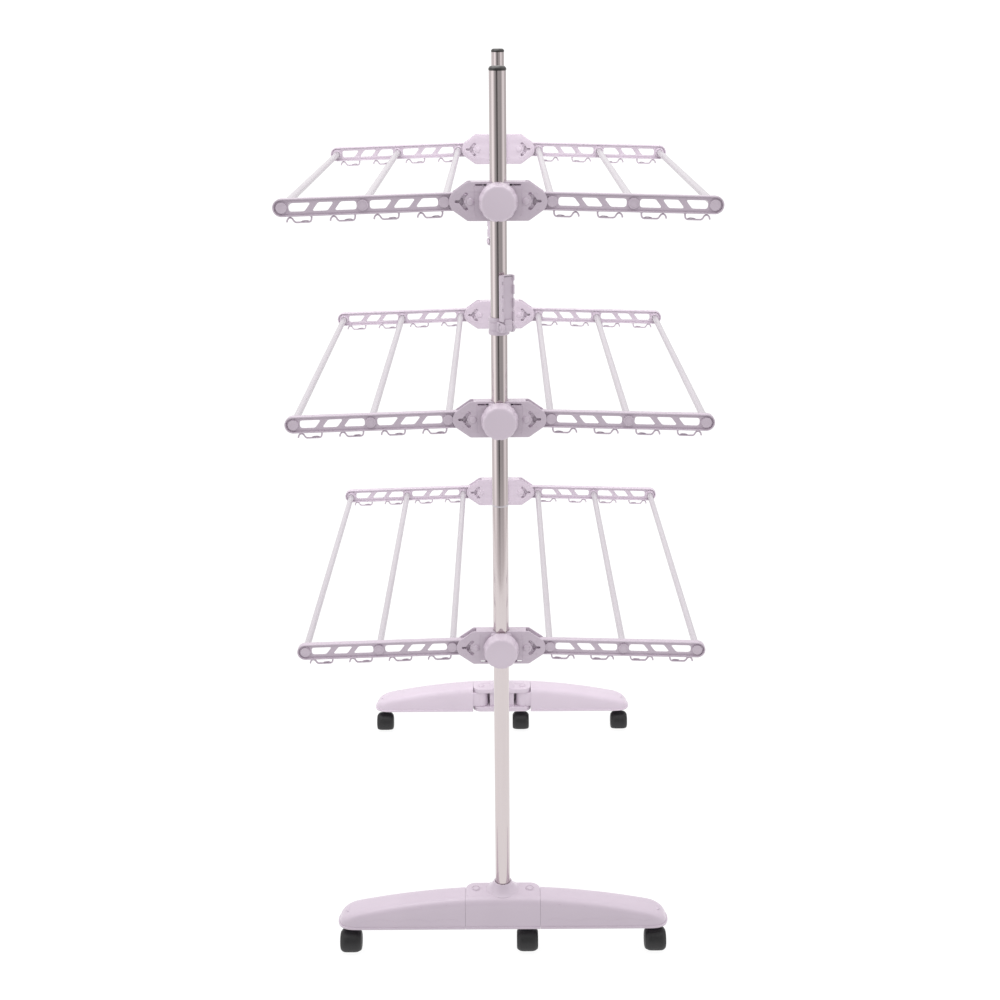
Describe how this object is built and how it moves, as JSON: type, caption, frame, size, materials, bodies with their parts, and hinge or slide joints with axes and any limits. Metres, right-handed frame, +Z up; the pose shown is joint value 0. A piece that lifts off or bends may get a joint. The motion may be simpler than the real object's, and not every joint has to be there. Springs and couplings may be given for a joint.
{
  "type": "clothes drying rack",
  "caption": "Tiered clothes drying rack on two round uprights, with fold-down rod trays, clamp knobs, folding hanger arms, hinged feet and twin-wheel casters.",
  "frame": {"origin": "on the floor, at the middle of the bounding box in X and Y", "axes": "+Z up; X runs across the trays along their arms; Y runs along the rods from the near upright to the far one"},
  "size_m": [0.7578, 0.999, 1.677],
  "materials": {
    "lilac_plastic": "smooth semi-gloss pale lilac injection-moulded plastic",
    "uprights": "bright polished stainless tube",
    "rod_paint": "off-white coated thin steel tube",
    "caster_black": "black satin plastic"
  },
  "bodies": {
    "frame_root": {"upright_near": "uprights", "upright_far": "uprights", "foot_near_center": "lilac_plastic", "foot_far_center": "lilac_plastic", "hanger_near_collar": "lilac_plastic", "hanger_far_collar": "lilac_plastic"},
    "tier1_carriage": {"tier1_bracket_near": "lilac_plastic", "tier1_bracket_far": "lilac_plastic"},
    "tier1_knob_near_body": {"tier1_knob_near": "lilac_plastic"},
    "tier1_knob_far_body": {"tier1_knob_far": "lilac_plastic"},
    "tray1_left": {"tray1_left_arm_near": "lilac_plastic", "tray1_left_arm_far": "lilac_plastic", "tray1_left_rod_inner": "rod_paint", "tray1_left_rod_outer": "rod_paint"},
    "tray1_right": {"tray1_right_arm_near": "lilac_plastic", "tray1_right_arm_far": "lilac_plastic", "tray1_right_rod_inner": "rod_paint", "tray1_right_rod_outer": "rod_paint"},
    "tier2_carriage": {"tier2_bracket_near": "lilac_plastic", "tier2_bracket_far": "lilac_plastic"},
    "tier2_knob_near_body": {"tier2_knob_near": "lilac_plastic"},
    "tier2_knob_far_body": {"tier2_knob_far": "lilac_plastic"},
    "tray2_left": {"tray2_left_arm_near": "lilac_plastic", "tray2_left_arm_far": "lilac_plastic", "tray2_left_rod_inner": "rod_paint", "tray2_left_rod_outer": "rod_paint"},
    "tray2_right": {"tray2_right_arm_near": "lilac_plastic", "tray2_right_arm_far": "lilac_plastic", "tray2_right_rod_inner": "rod_paint", "tray2_right_rod_outer": "rod_paint"},
    "tier3_carriage": {"tier3_bracket_near": "lilac_plastic", "tier3_bracket_far": "lilac_plastic"},
    "tier3_knob_near_body": {"tier3_knob_near": "lilac_plastic"},
    "tier3_knob_far_body": {"tier3_knob_far": "lilac_plastic"},
    "tray3_left": {"tray3_left_arm_near": "lilac_plastic", "tray3_left_arm_far": "lilac_plastic", "tray3_left_rod_inner": "rod_paint", "tray3_left_rod_outer": "rod_paint"},
    "tray3_right": {"tray3_right_arm_near": "lilac_plastic", "tray3_right_arm_far": "lilac_plastic", "tray3_right_rod_inner": "rod_paint", "tray3_right_rod_outer": "rod_paint"},
    "foot_near_wing_left_body": {"foot_near_wing_left": "lilac_plastic"},
    "foot_near_wing_right_body": {"foot_near_wing_right": "lilac_plastic"},
    "caster_near_left_swivel_body": {"caster_near_left_fork": "caster_black"},
    "caster_near_left_wheels_body": {"caster_near_left_wheels": "caster_black"},
    "caster_near_mid_swivel_body": {"caster_near_mid_fork": "caster_black"},
    "caster_near_mid_wheels_body": {"caster_near_mid_wheels": "caster_black"},
    "caster_near_right_swivel_body": {"caster_near_right_fork": "caster_black"},
    "caster_near_right_wheels_body": {"caster_near_right_wheels": "caster_black"},
    "hanger_near_arm_body": {"hanger_near_arm": "lilac_plastic"},
    "foot_far_wing_left_body": {"foot_far_wing_left": "lilac_plastic"},
    "foot_far_wing_right_body": {"foot_far_wing_right": "lilac_plastic"},
    "caster_far_left_swivel_body": {"caster_far_left_fork": "caster_black"},
    "caster_far_left_wheels_body": {"caster_far_left_wheels": "caster_black"},
    "caster_far_mid_swivel_body": {"caster_far_mid_fork": "caster_black"},
    "caster_far_mid_wheels_body": {"caster_far_mid_wheels": "caster_black"},
    "caster_far_right_swivel_body": {"caster_far_right_fork": "caster_black"},
    "caster_far_right_wheels_body": {"caster_far_right_wheels": "caster_black"},
    "hanger_far_arm_body": {"hanger_far_arm": "lilac_plastic"}
  },
  "joints": [
    {"name": "tier1_height_slide", "type": "slide", "parent": "frame_root", "child": "tier1_carriage", "axis": [0, 0, 1], "range_m": [-0.06, 0.06]},
    {"name": "tier1_knob_near_turn", "type": "hinge", "parent": "tier1_carriage", "child": "tier1_knob_near_body", "pos_m": [0, -0.47404, 1.46], "axis": [0, -1, 0], "continuous": true},
    {"name": "tier1_knob_far_turn", "type": "hinge", "parent": "tier1_carriage", "child": "tier1_knob_far_body", "pos_m": [0, 0.48097, 1.46], "axis": [0, 1, 0], "continuous": true},
    {"name": "tray1_left_fold", "type": "hinge", "parent": "tier1_carriage", "child": "tray1_left", "pos_m": [-0.0465, 0, 1.46], "axis": [0, -1, 0], "range_deg": [0, 88]},
    {"name": "tray1_right_fold", "type": "hinge", "parent": "tier1_carriage", "child": "tray1_right", "pos_m": [0.0465, 0, 1.46], "axis": [0, 1, 0], "range_deg": [0, 88]},
    {"name": "tier2_height_slide", "type": "slide", "parent": "frame_root", "child": "tier2_carriage", "axis": [0, 0, 1], "range_m": [-0.06, 0.06]},
    {"name": "tier2_knob_near_turn", "type": "hinge", "parent": "tier2_carriage", "child": "tier2_knob_near_body", "pos_m": [0, -0.47404, 1.082], "axis": [0, -1, 0], "continuous": true},
    {"name": "tier2_knob_far_turn", "type": "hinge", "parent": "tier2_carriage", "child": "tier2_knob_far_body", "pos_m": [0, 0.48097, 1.082], "axis": [0, 1, 0], "continuous": true},
    {"name": "tray2_left_fold", "type": "hinge", "parent": "tier2_carriage", "child": "tray2_left", "pos_m": [-0.0465, 0, 1.082], "axis": [0, -1, 0], "range_deg": [0, 88]},
    {"name": "tray2_right_fold", "type": "hinge", "parent": "tier2_carriage", "child": "tray2_right", "pos_m": [0.0465, 0, 1.082], "axis": [0, 1, 0], "range_deg": [0, 88]},
    {"name": "tier3_height_slide", "type": "slide", "parent": "frame_root", "child": "tier3_carriage", "axis": [0, 0, 1], "range_m": [-0.06, 0.06]},
    {"name": "tier3_knob_near_turn", "type": "hinge", "parent": "tier3_carriage", "child": "tier3_knob_near_body", "pos_m": [0, -0.47404, 0.644], "axis": [0, -1, 0], "continuous": true},
    {"name": "tier3_knob_far_turn", "type": "hinge", "parent": "tier3_carriage", "child": "tier3_knob_far_body", "pos_m": [0, 0.48097, 0.644], "axis": [0, 1, 0], "continuous": true},
    {"name": "tray3_left_fold", "type": "hinge", "parent": "tier3_carriage", "child": "tray3_left", "pos_m": [-0.0465, 0, 0.644], "axis": [0, -1, 0], "range_deg": [0, 88]},
    {"name": "tray3_right_fold", "type": "hinge", "parent": "tier3_carriage", "child": "tray3_right", "pos_m": [0.0465, 0, 0.644], "axis": [0, 1, 0], "range_deg": [0, 88]},
    {"name": "foot_near_left_fold", "type": "hinge", "parent": "frame_root", "child": "foot_near_wing_left_body", "pos_m": [-0.053, -0.44604, 0.088], "axis": [0, 0, -1], "range_deg": [0, 90]},
    {"name": "foot_near_right_fold", "type": "hinge", "parent": "frame_root", "child": "foot_near_wing_right_body", "pos_m": [0.053, -0.44604, 0.088], "axis": [0, 0, 1], "range_deg": [0, 90]},
    {"name": "caster_near_left_swivel", "type": "hinge", "parent": "foot_near_wing_left_body", "child": "caster_near_left_swivel_body", "pos_m": [-0.3, -0.45904, 0.05], "axis": [0, 0, 1], "continuous": true},
    {"name": "caster_near_left_roll", "type": "hinge", "parent": "caster_near_left_swivel_body", "child": "caster_near_left_wheels_body", "pos_m": [-0.3, -0.47504, 0.021], "axis": [1, 0, 0], "continuous": true},
    {"name": "caster_near_mid_swivel", "type": "hinge", "parent": "frame_root", "child": "caster_near_mid_swivel_body", "pos_m": [0.048, -0.45904, 0.05], "axis": [0, 0, 1], "continuous": true},
    {"name": "caster_near_mid_roll", "type": "hinge", "parent": "caster_near_mid_swivel_body", "child": "caster_near_mid_wheels_body", "pos_m": [0.048, -0.47504, 0.021], "axis": [1, 0, 0], "continuous": true},
    {"name": "caster_near_right_swivel", "type": "hinge", "parent": "foot_near_wing_right_body", "child": "caster_near_right_swivel_body", "pos_m": [0.3, -0.45904, 0.05], "axis": [0, 0, 1], "continuous": true},
    {"name": "caster_near_right_roll", "type": "hinge", "parent": "caster_near_right_swivel_body", "child": "caster_near_right_wheels_body", "pos_m": [0.3, -0.47504, 0.021], "axis": [1, 0, 0], "continuous": true},
    {"name": "hanger_near_fold", "type": "hinge", "parent": "frame_root", "child": "hanger_near_arm_body", "pos_m": [0.0135, -0.46992, 1.249], "axis": [0.866, 0.5, 0], "range_deg": [0, 90]},
    {"name": "foot_far_left_fold", "type": "hinge", "parent": "frame_root", "child": "foot_far_wing_left_body", "pos_m": [-0.053, 0.45297, 0.088], "axis": [0, 0, 1], "range_deg": [0, 90]},
    {"name": "foot_far_right_fold", "type": "hinge", "parent": "frame_root", "child": "foot_far_wing_right_body", "pos_m": [0.053, 0.45297, 0.088], "axis": [0, 0, -1], "range_deg": [0, 90]},
    {"name": "caster_far_left_swivel", "type": "hinge", "parent": "foot_far_wing_left_body", "child": "caster_far_left_swivel_body", "pos_m": [-0.3, 0.46597, 0.05], "axis": [0, 0, 1], "continuous": true},
    {"name": "caster_far_left_roll", "type": "hinge", "parent": "caster_far_left_swivel_body", "child": "caster_far_left_wheels_body", "pos_m": [-0.3, 0.44997, 0.021], "axis": [1, 0, 0], "continuous": true},
    {"name": "caster_far_mid_swivel", "type": "hinge", "parent": "frame_root", "child": "caster_far_mid_swivel_body", "pos_m": [0.048, 0.46597, 0.05], "axis": [0, 0, 1], "continuous": true},
    {"name": "caster_far_mid_roll", "type": "hinge", "parent": "caster_far_mid_swivel_body", "child": "caster_far_mid_wheels_body", "pos_m": [0.048, 0.44997, 0.021], "axis": [1, 0, 0], "continuous": true},
    {"name": "caster_far_right_swivel", "type": "hinge", "parent": "foot_far_wing_right_body", "child": "caster_far_right_swivel_body", "pos_m": [0.3, 0.46597, 0.05], "axis": [0, 0, 1], "continuous": true},
    {"name": "caster_far_right_roll", "type": "hinge", "parent": "caster_far_right_swivel_body", "child": "caster_far_right_wheels_body", "pos_m": [0.3, 0.44997, 0.021], "axis": [1, 0, 0], "continuous": true},
    {"name": "hanger_far_fold", "type": "hinge", "parent": "frame_root", "child": "hanger_far_arm_body", "pos_m": [-0.0135, 0.47685, 1.249], "axis": [-0.866, -0.5, 0], "range_deg": [0, 90]}
  ]
}
